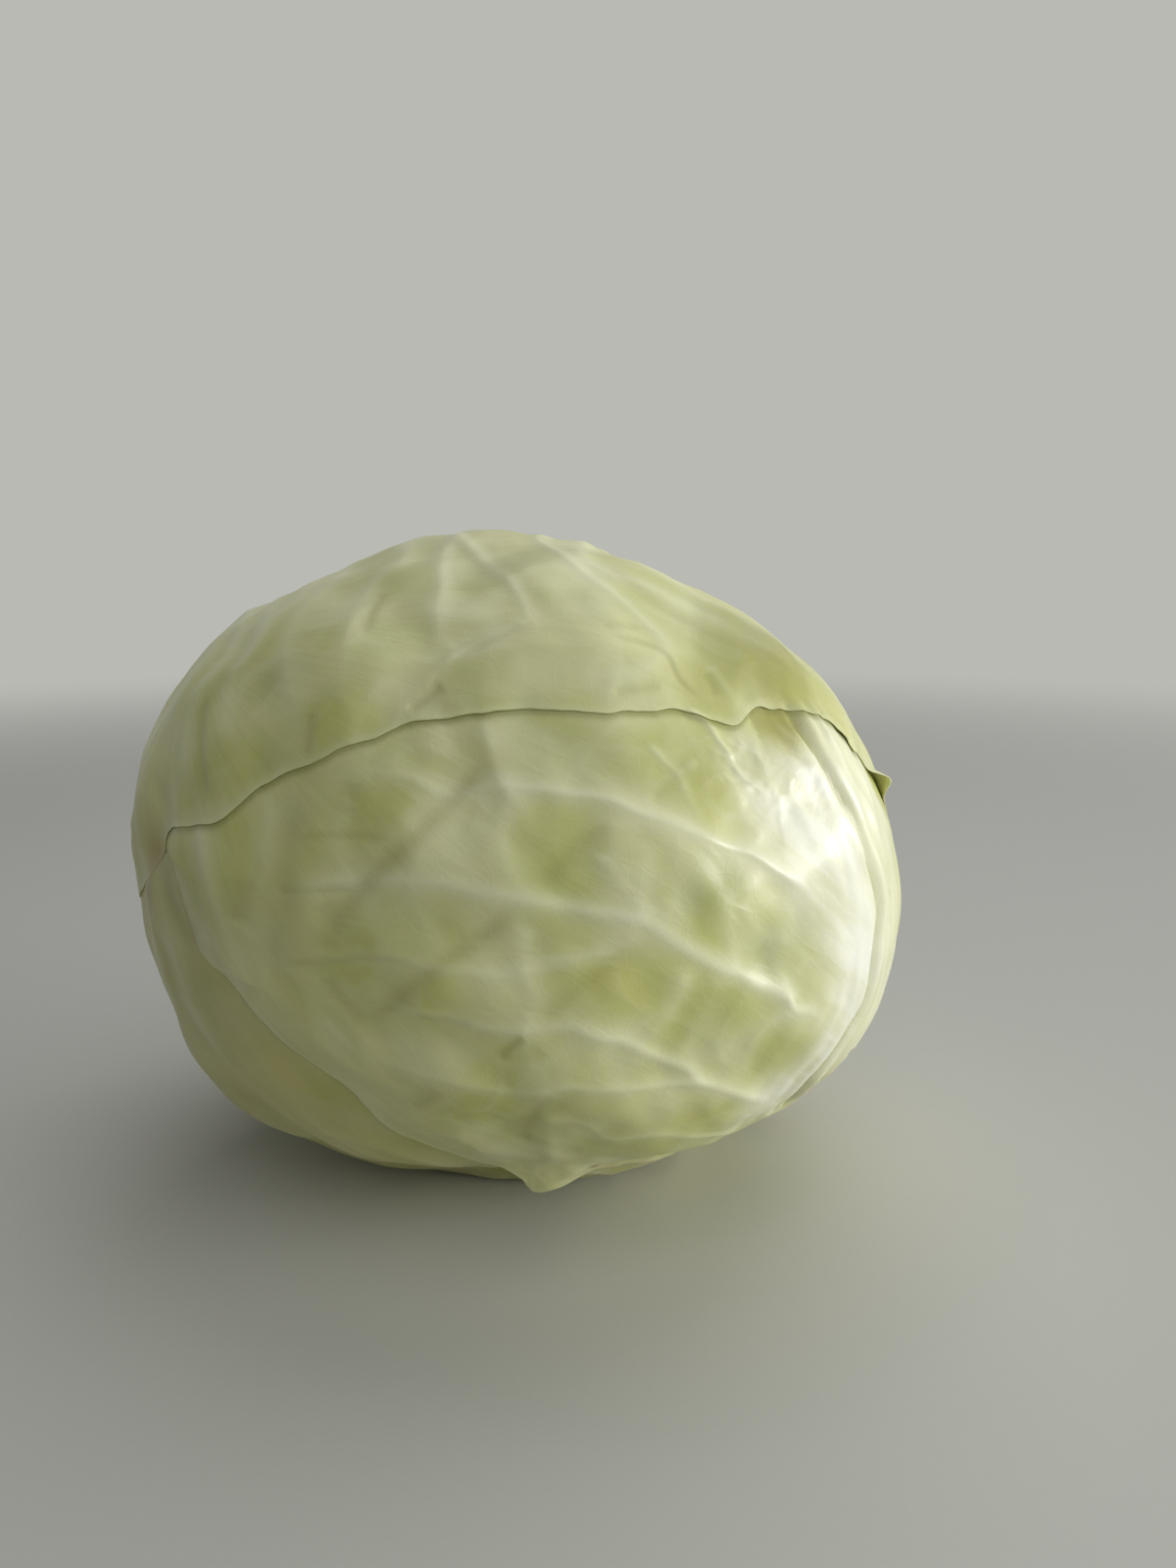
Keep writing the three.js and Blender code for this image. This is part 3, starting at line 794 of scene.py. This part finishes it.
def discTowards(leaf, side):
    line = np.linspace(-1, 1, side + 1)
    u, v = (g.ravel() for g in np.meshgrid(line, line))
    x, y = u * np.sqrt(1 - v * v / 2), v * np.sqrt(1 - u * u / 2)
    out = np.clip(np.hypot(x, y), 0, 1)
    out = 1 - (1 - out) ** 1.2
    angle = np.arctan2(y, x)
    return away(leaf["middle"], leaf["axes"], rimReach(leaf, angle) * out, angle)


def placed(name, data):
    thing = bpy.data.objects.new(name, data)
    bpy.context.scene.collection.objects.link(thing)
    return thing


def objectFrom(name, points, faces, fields, material):
    mesh = bpy.data.meshes.new(name)
    mesh.vertices.add(len(points))
    mesh.vertices.foreach_set("co", (points * metresPerMm).ravel())
    mesh.loops.add(faces.size)
    mesh.loops.foreach_set("vertex_index", faces.ravel())
    mesh.polygons.add(len(faces))
    mesh.polygons.foreach_set("loop_start", np.arange(len(faces)) * 3)
    mesh.polygons.foreach_set("use_smooth", np.ones(len(faces), bool))
    mesh.update(calc_edges=True)
    for field, values in fields.items():
        kind = "FLOAT_VECTOR" if values.ndim == 2 else "FLOAT"
        entry = "vector" if values.ndim == 2 else "value"
        mesh.attributes.new(field, kind, "POINT").data.foreach_set(entry, values.ravel())
    mesh.materials.append(material)
    return placed(name, mesh)


def marks(towards, spots):
    total = np.zeros(len(towards))
    for spot in spots:
        total = join(total, bump(towards, *spot))
    return total


# A closed shell: a fine outer face, a coarser inner face and a strip between them at the rim.
def leafShell(leaf, material):
    side = leaf["cells"] - leaf["cells"] % 3
    fine = discTowards(leaf, side)
    coarse = discTowards(leaf, side // 3)
    own = relief(leaf, fine)
    below = np.zeros(len(fine))
    under = np.zeros(len(fine))
    seam = np.zeros(len(fine))
    for other in leaves[:leaves.index(leaf)]:
        near = smooth((inside(other, fine) + 4) / 4) * exposure(other, fine)
        if near.max() > 0.01:
            imprint = relief(other, fine)
            below += imprint["height"] * near
            under = join(under, imprint["pale"] * near * 0.5)
    # A painted shadow on this leaf just outside the rims of the leaves that lie over it.
    for other in leaves[leaves.index(leaf) + 1:]:
        depth = inside(other, fine) * mmPerDegree
        shown = other["seam"] * (1 - flushAt(other, fine))
        seam = join(seam, shown * hill(np.minimum(depth + 0.4, 0), 0.8))
    margin = inside(leaf, fine) * mmPerDegree
    fade = smooth(margin / 4) * 0.7 + 0.3
    height = outerHeight(leaf, fine, margin, own["height"] * fade)
    outer = pointAt(fine, height + below)
    order = np.arange((side + 1) ** 2).reshape(side + 1, side + 1)[::3, ::3].ravel()
    sunk = flushAt(leaf, fine)
    thick = leaf["rimThickness"] * (1 - 0.7 * sunk[order])
    thick = thick + (layers["thickness"] - thick) * smooth(margin[order] / 6)
    inner = pointAt(coarse, (height + below)[order] - thick)
    faces = gridFaces(side)
    innerFaces = gridFaces(side // 3)[:, ::-1] + len(outer)
    out, back = ringOf(side), ringOf(side // 3) + len(outer)
    a, b, c, d = out[::3], out[1::3], out[2::3], np.roll(out[::3], -1)
    m, n = back, np.roll(back, -1)
    strip = np.vstack([np.stack(t, -1) for t in
                       ((b, a, m), (c, b, m), (c, m, n), (d, c, n))])
    points = np.vstack([outer, inner])
    faces = np.vstack([faces, innerFaces, strip])
    if volumeOf(points, faces) < 0:
        faces = faces[:, ::-1]

    def both(values):
        return np.concatenate([values, values[order]])
    fields = {
        "pale": both(np.clip(join(own["pale"], under), 0, 1)),
        "dark": both(own["dark"]),
        "seam": both(seam),
        "rim": both(hill(margin, 1.3) * (1 - sunk)),
        "cloud": both(smooth(0.5 + 0.45 * softNoise(fine * meanRadius, 26, leaf["seed"] + 30))),
        "fibres": both(fibreSpace(fine)) * metresPerMm,
        **{tone: both(marks(fine, leaf[tone])) for tone in ("yellow", "white", "brown", "green")},
    }
    return objectFrom(leaf["name"] + "Skin", points, faces, fields, material)


def volumeOf(points, faces):
    a, b, c = (points[faces[:, i]] for i in range(3))
    return (a * np.cross(b, c)).sum() / 6


# Materials

def colour(text):  # from a hex colour as it looks to the linear one that Blender takes
    parts = [int(text[i:i + 2], 16) / 255 for i in (0, 2, 4)]
    return [p / 12.92 if p <= 0.04045 else ((p + 0.055) / 1.055) ** 2.4 for p in parts] + [1.0]


def newGroup(name, inputs, outputs):
    group = bpy.data.node_groups.new(name, "ShaderNodeTree")
    for label, default in inputs.items():
        socket = group.interface.new_socket(label, in_out="INPUT", socket_type="NodeSocketFloat")
        socket.default_value = default
    for label in outputs:
        group.interface.new_socket(label, in_out="OUTPUT", socket_type="NodeSocketFloat")
    return group, group.nodes.new("NodeGroupInput"), group.nodes.new("NodeGroupOutput")


def feed(tree, node, inputs):  # each input gets another node's output or a plain value
    for key, value in inputs.items():
        if isinstance(value, bpy.types.NodeSocket):
            tree.links.new(value, node.inputs[key])
        else:
            node.inputs[key].default_value = value
    return node


def addNode(tree, kind, settings=None, inputs=None):
    node = tree.nodes.new(kind)
    for key, value in (settings or {}).items():
        setattr(node, key, value)
    return feed(tree, node, inputs or {})


def sums(tree, operation, *values, clamp=False):
    settings = {"operation": operation, "use_clamp": clamp}
    return addNode(tree, "ShaderNodeMath", settings, dict(enumerate(values))).outputs[0]


def ranged(tree, value, low, high, toLow=0.0, toHigh=1.0):
    inputs = {"Value": value, "From Min": low, "From Max": high, "To Min": toLow,
              "To Max": toHigh}
    settings = {"interpolation_type": "SMOOTHSTEP"}
    return addNode(tree, "ShaderNodeMapRange", settings, inputs).outputs["Result"]


def noise(tree, vector, scale, detail=2.0, roughness=0.5):
    return addNode(tree, "ShaderNodeTexNoise", None, {
        "Vector": vector, "Scale": scale, "Detail": detail, "Roughness": roughness})


def objectSpace(tree):
    return addNode(tree, "ShaderNodeTexCoord").outputs["Object"]


# A small grain at two sizes.
def makeGrain():
    group, given, result = newGroup("leafGrain", {"Scale": 900}, ["Grain"])
    grain = noise(group, objectSpace(group), given.outputs["Scale"], 3, 0.6)
    group.links.new(grain.outputs["Fac"], result.inputs["Grain"])
    return group


def vectorSums(tree, operation, inputs):
    return addNode(tree, "ShaderNodeVectorMath", {"operation": operation}, inputs).outputs[0]


# A net of thin branching veins, finer than the modelled ones.
def makeVeinNet():
    group, given, result = newGroup("veinNet", {"Scale": 220, "Warp": 0.004, "Line": 0.09},
                                    ["Lines"])
    space = objectSpace(group)
    wander = noise(group, space, 160, 1).outputs["Color"]
    offset = vectorSums(group, "SUBTRACT", {0: wander, 1: (0.5, 0.5, 0.5)})
    scaled = vectorSums(group, "SCALE", {0: offset, "Scale": given.outputs["Warp"]})
    moved = vectorSums(group, "ADD", {0: space, 1: scaled})
    cells = addNode(group, "ShaderNodeTexVoronoi", {"feature": "DISTANCE_TO_EDGE"},
                    {"Vector": moved, "Scale": given.outputs["Scale"]})
    lines = ranged(group, cells.outputs["Distance"], 0, given.outputs["Line"], 1, 0)
    group.links.new(lines, result.inputs["Lines"])
    return group


# Long thin lines that run out from the stem along a leaf.
def makeFibres():
    group, given, result = newGroup("leafFibres", {"Scale": 500}, ["Threads", "Bands"])
    way = addNode(group, "ShaderNodeAttribute", {"attribute_name": "fibres"}).outputs["Vector"]
    fine = noise(group, way, given.outputs["Scale"], 2, 0.6).outputs["Fac"]
    ridge = sums(group, "ABSOLUTE", sums(group, "SUBTRACT", fine, 0.5))
    group.links.new(ranged(group, ridge, 0.0, 0.07, 1, 0), result.inputs["Threads"])
    group.links.new(ranged(group, fine, 0.35, 0.65), result.inputs["Bands"])
    return group


groups = {
    "grain": makeGrain(),
    "veinNet": makeVeinNet(),
    "fibres": makeFibres(),
}


def placeGroup(tree, name, values):
    return addNode(tree, "ShaderNodeGroup", {"node_tree": groups[name]}, values)


def field(tree, name):
    return addNode(tree, "ShaderNodeAttribute", {"attribute_name": name}).outputs["Fac"]


def mix(tree, amount, a, b):
    inputs = {0: amount, 6: a, 7: b}  # 6, 7 and output 2 are the colours
    return addNode(tree, "ShaderNodeMix", {"data_type": "RGBA"}, inputs).outputs[2]


def newMaterial(name):
    material = bpy.data.materials.new(name)
    material.use_nodes = True
    shader = material.node_tree.nodes["Principled BSDF"]
    return material, material.node_tree, shader


# Joins the base colour, the roughness and the relief to a shader.
def finishShader(tree, shader, base, rough, rises, look):
    bumps = addNode(tree, "ShaderNodeBump", None, {
        "Height": rises, "Strength": look["bump"], "Distance": look["bumpDistance"]})
    feed(tree, shader, {
        "Base Color": base, "Roughness": rough, "Normal": bumps.outputs["Normal"]})


leafLook = {
    "lamina": "c4c675",
    "laminaPale": "d4d497",
    "laminaGreen": "a3aa5e",
    "vein": "eeefcc",
    # The whitest colour is partly whiter tissue and partly painted light.
    "white": "f8f8e8",
    # The next two olives are painted shade: in creases and grooves, and beside the rims of leaves
    # above.
    "dark": "86812c",
    "seam": "84843c",
    "yellow": "c6c255",
    "brown": "8a6a38",
    "rim": "dcdfa8",
    "roughness": 0.36,
    "bump": 0.15,
    "bumpDistance": 0.0002,
    "grain": {"Scale": 1000},
    "veinNet": {"Scale": 230, "Warp": 0.005, "Line": 0.1},
    "fibres": {"Scale": 300},
    "surface": {
        "Coat Weight": 0.24,
        "Coat Roughness": 0.22,
        "Subsurface Weight": 0.1,
        "Subsurface Radius": (1.0, 1.0, 0.35),
        "Subsurface Scale": 0.002,
    },
}


def leafMaterial(name, changes=None):
    look = {**leafLook, **(changes or {})}
    material, tree, shader = newMaterial(name)
    grain = placeGroup(tree, "grain", look["grain"]).outputs["Grain"]
    lines = placeGroup(tree, "veinNet", look["veinNet"]).outputs["Lines"]
    fibres = placeGroup(tree, "fibres", look["fibres"])
    threads, bands = fibres.outputs["Threads"], fibres.outputs["Bands"]
    cloud, pale = field(tree, "cloud"), field(tree, "pale")

    def share(mask, amount):
        mask = field(tree, mask) if isinstance(mask, str) else mask
        return sums(tree, "MULTIPLY", mask, amount)
    fineLines = sums(tree, "ADD", share(threads, 0.03), share(lines, 0.02))
    streaks = sums(tree, "MULTIPLY_ADD", bands, -0.55, 1)
    white = share("white", streaks)
    base = mix(tree, cloud, colour(look["lamina"]), colour(look["laminaPale"]))
    # Some layers are painted light: the green marks partly painted shade, the white marks partly
    # painted light and highlights, and the crease colour and the shadow beside the rims of leaves
    # above painted shade.
    for mask, tone in (  # each lies over the ones before it
            (share("green", 0.85), "laminaGreen"),
            (share(bands, 0.16), "laminaGreen"),
            (sums(tree, "ADD", pale, fineLines, clamp=True), "vein"),
            (white, "white"),
            (share("yellow", 0.6), "yellow"),
            (share("rim", 0.6), "rim"),
            (share("dark", 0.6), "dark"),
            (share("seam", 0.75), "seam"),
            (field(tree, "brown"), "brown")):
        base = mix(tree, mask, base, colour(look[tone]))
    rough = sums(tree, "MULTIPLY_ADD", cloud, 0.08, look["roughness"])
    for mask, amount in ((pale, -0.06), (white, 0.14), (grain, 0.08)):
        rough = sums(tree, "MULTIPLY_ADD", mask, amount, rough)
    rises = share(lines, 0.3)
    for mask, amount in ((threads, 0.3), (grain, 0.5)):
        rises = sums(tree, "MULTIPLY_ADD", mask, amount, rises)
    finishShader(tree, shader, base, rough, rises, look)
    feed(tree, shader, look["surface"])
    return material


leafChanges = {
    "left_leaf": {"lamina": "b8b868", "laminaPale": "c9c684", "vein": "e2dfba"},
}
materials = {leaf["name"]: leafMaterial(leaf["name"] + "Finish", leafChanges.get(leaf["name"]))
             for leaf in leaves}
print("materials made")

for leaf in leaves:
    prepare(leaf)
for leaf in leaves:
    skin = leafShell(leaf, materials[leaf["name"]])
    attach(skin, "root")
    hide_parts(leaf["name"])
    print(leaf["name"], len(skin.data.polygons), "faces")

# The head, which shows only between the leaves.
headLook = {
    "detail": 6,
    "pucker": 0.25,
    "cell": 12,
    "line": 0.9,
    "swell": 14,
    "cloud": 26,
    "pale": (0.3, 0.5),  # between the lines, and the part that they add
}


def makeHead():
    ball = bmesh.new()
    bmesh.ops.create_icosphere(ball, subdivisions=headLook["detail"], radius=1)
    towards = unit(np.array([v.co[:] for v in ball.verts]))
    faces = np.array([[v.index for v in f.verts] for f in ball.faces])
    ball.free()
    spots = towards * meanRadius
    net = hill(cellEdge(towards, headLook["cell"], 21), headLook["line"])
    height = headLook["pucker"] * (net + softNoise(spots, headLook["swell"], 22) - 1.5)
    points = pointAt(towards, height)
    empty = np.zeros(len(points))
    fields = {name: empty for name in ("dark", "seam", "rim", "yellow", "brown", "green", "white")}
    between, added = headLook["pale"]
    fields["pale"] = between + added * net
    fields["cloud"] = smooth(0.5 + 0.45 * softNoise(spots, headLook["cloud"], 23))
    fields["fibres"] = fibreSpace(towards) * metresPerMm
    return objectFrom("headBody", points, faces, fields, leafMaterial("headFinish"))


head = makeHead()
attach(head, "root")
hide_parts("head")

# The stem stub and its cut end.
stemLook = {
    "rind": "c9c38a",
    "scar": "8d7a4a",
    "pith": "e6dfb8",
    "ring": "b9a468",
    "cut": "a98a55",
    "roughness": 0.55,
    "bump": 0.7,
    "bumpDistance": 0.0004,
    "blotch": 260,
    "fine": 1500,
    "ringAt": 0.78,  # how far out on the cut
}


def stemMaterial():
    material, tree, shader = newMaterial("stemFinish")
    across = field(tree, "across")
    onCut = field(tree, "onCut")
    space = objectSpace(tree)
    blotch = noise(tree, space, stemLook["blotch"], 4, 0.6).outputs["Fac"]
    fine = noise(tree, space, stemLook["fine"], 3, 0.6).outputs["Fac"]
    rind = mix(tree, ranged(tree, blotch, 0.4, 0.65), colour(stemLook["rind"]),
               colour(stemLook["scar"]))
    fromRing = sums(tree, "ABSOLUTE", sums(tree, "SUBTRACT", across, stemLook["ringAt"]))
    ring = ranged(tree, fromRing, 0.02, 0.12, 1, 0)
    pith = mix(tree, ranged(tree, blotch, 0.35, 0.7), colour(stemLook["pith"]),
               colour(stemLook["cut"]))
    pith = mix(tree, sums(tree, "MULTIPLY", ring, 0.8), pith, colour(stemLook["ring"]))
    pith = mix(tree, ranged(tree, across, 0.88, 1.0), pith, colour(stemLook["scar"]))
    base = mix(tree, onCut, rind, pith)
    rough = sums(tree, "MULTIPLY_ADD", fine, 0.25, stemLook["roughness"])
    finishShader(tree, shader, base, rough, sums(tree, "ADD", fine, blotch), stemLook)
    return material


def makeStem():
    spokes, rings = stemShape["spokes"], stemShape["rings"]
    radius, length = stemShape["radius"], stemShape["length"]
    profile = np.array(stemShape["profile"])
    share = np.linspace(0, 1, rings + 1)[1:-1]
    known = np.linspace(0, 1, len(profile))
    around = np.linspace(0, 2 * math.pi, spokes, endpoint=False)
    out, angle = (g.ravel() for g in np.meshgrid(np.interp(share, known, profile[:, 0]), around,
                                                 indexing="ij"))
    up = np.repeat(np.interp(share, known, profile[:, 1]), spokes)
    flat = np.stack([out * np.cos(angle), out * np.sin(angle), up], -1) * radius
    rough = softNoise(flat, 9, 31) * 0.25 + softNoise(flat, 3.5, 32) * 0.1
    onCut = np.repeat(smooth((share - stemShape["cutFrom"]) / 0.04), spokes)
    wide = out * radius * 0.985 - np.abs(rough) * 0.8 * out
    rays = np.cos(angle * stemShape["rays"] + 2 * softNoise(flat, 12, 33))
    tall = up * length + (0.12 * rays + 0.2 * softNoise(flat, 4, 34) - 0.3) * onCut
    place = np.stack([wide * np.cos(angle), wide * np.sin(angle), tall], -1)
    place = np.vstack([place, [[0, 0, 0], [0, 0, length * 0.97]]])
    base = headShape["centre"] + stemAxis * (stemShape["seat"] + stemShape["clearance"])
    points = base + place @ np.stack([*stemAxes, stemAxis])
    grid = np.arange(len(share) * spokes).reshape(len(share), spokes)
    following = np.roll(grid, -1, 1)
    a, b, c, d = (g.ravel() for g in (grid[:-1], following[:-1], following[1:], grid[1:]))
    bottom, top = len(points) - 2, len(points) - 1
    faces = np.vstack([
        np.stack([a, b, c], -1), np.stack([a, c, d], -1),
        np.stack([np.full(spokes, bottom), following[0], grid[0]], -1),
        np.stack([np.full(spokes, top), grid[-1], following[-1]], -1),
    ])
    if volumeOf(points - base, faces) < 0:
        faces = faces[:, ::-1]
    fields = {
        "across": np.concatenate([out / 0.9, [0, 0]]),
        "onCut": np.concatenate([onCut, [0, 1]]),
    }
    return objectFrom("stemStub", points, faces, fields, stemMaterial())


stem = makeStem()
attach(stem, "root")
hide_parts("stem")
print("stem and head made")

# A plain pale floor that fades into the backdrop's colour far from the cabbage.
stageLook = {
    "floor": "cfd0ca", "backdrop": "b9bab4", "roughness": 0.6,
    "size": 3.0, "fade": (0.45, 1.3), "sides": 64,
}


# 1 for rays that see the surroundings, and 0 for those that only bring light.
def seenDirectly(tree):
    path = addNode(tree, "ShaderNodeLightPath")
    seen = sums(tree, "ADD", path.outputs["Is Camera Ray"], path.outputs["Is Glossy Ray"])
    return sums(tree, "ADD", seen, path.outputs["Is Transmission Ray"], clamp=True)


def blendSurface(tree, output, share, first, second):
    both = addNode(tree, "ShaderNodeMixShader", None,
                   {0: share, 1: first.outputs[0], 2: second.outputs[0]})
    tree.links.new(both.outputs[0], tree.nodes[output].inputs["Surface"])


def makeStage():
    mesh = bpy.data.meshes.new("floor")
    size, sides = stageLook["size"], stageLook["sides"]
    turns = [2 * math.pi * k / sides for k in range(sides)]
    ring = [(size * math.cos(turn), size * math.sin(turn), 0) for turn in turns]
    mesh.from_pydata(ring, [], [list(range(sides))])
    floor = placed("floor", mesh)
    material, tree, shader = newMaterial("floorFinish")
    feed(tree, shader, {
        "Base Color": colour(stageLook["floor"]), "Roughness": stageLook["roughness"]})
    far = addNode(tree, "ShaderNodeVectorMath", {"operation": "LENGTH"},
                  {0: objectSpace(tree)}).outputs["Value"]
    start, end = stageLook["fade"]
    fade = sums(tree, "MULTIPLY", ranged(tree, far, start, end), seenDirectly(tree))
    glow = addNode(tree, "ShaderNodeEmission", None,
                   {"Color": colour(stageLook["backdrop"]), "Strength": 1})
    blendSurface(tree, "Material Output", fade, shader, glow)
    mesh.materials.append(material)


makeStage()

lampPlan = {  # where each lamp stands, its level on a surface that faces it, and its size
    "key": {"toward": [87, 6], "distance": 2.6, "level": 0.85, "size": (2.1, 0.6)},
    "top": {"toward": [150, 68], "distance": 1.0, "level": 0.35, "size": (0.9, 0.9)},
    "fill": {"toward": [18, 45], "distance": 1.0, "level": 0.275, "size": (0.9, 0.9)},
}
worldLevel = 0.06
aim = headShape["centre"] * metresPerMm


def makeLamps():
    for name, plan in lampPlan.items():
        data = bpy.data.lights.new(name, "AREA")
        data.shape = "RECTANGLE"
        data.size, data.size_y = plan["size"]
        data.energy = plan["level"] * math.pi ** 2 * plan["distance"] ** 2
        lamp = placed(name, data)
        toward = direction(plan["toward"])
        lamp.location = aim + toward * plan["distance"]
        lamp.rotation_mode = "QUATERNION"
        lamp.rotation_quaternion = Vector(toward.tolist()).to_track_quat("Z", "Y")
        lamp.visible_camera = False


def makeWorld():
    world = bpy.data.worlds.new("studio")
    world.use_nodes = True
    tree = world.node_tree
    light = feed(tree, tree.nodes["Background"], {
        "Color": (1, 1, 1, 1), "Strength": worldLevel})
    backdrop = addNode(tree, "ShaderNodeBackground", None,
                       {"Color": colour(stageLook["backdrop"]), "Strength": 1})
    blendSurface(tree, "World Output", seenDirectly(tree), light, backdrop)
    bpy.context.scene.world = world


makeLamps()
makeWorld()

cameraPlan = {"place": (16.4, -278.5, 151.0), "tilt": 78.75, "lens": 27.05, "sensor": 36}


def makeCamera():
    data = bpy.data.cameras.new("camera")
    data.sensor_width = cameraPlan["sensor"]
    data.lens = cameraPlan["lens"]
    data.clip_start = 0.01
    camera = placed("camera", data)
    camera.location = [v * metresPerMm for v in cameraPlan["place"]]
    camera.rotation_euler = (math.radians(cameraPlan["tilt"]), 0, 0)
    bpy.context.scene.camera = camera


makeCamera()
bpy.context.scene.view_settings.view_transform = "Standard"

print("finished")
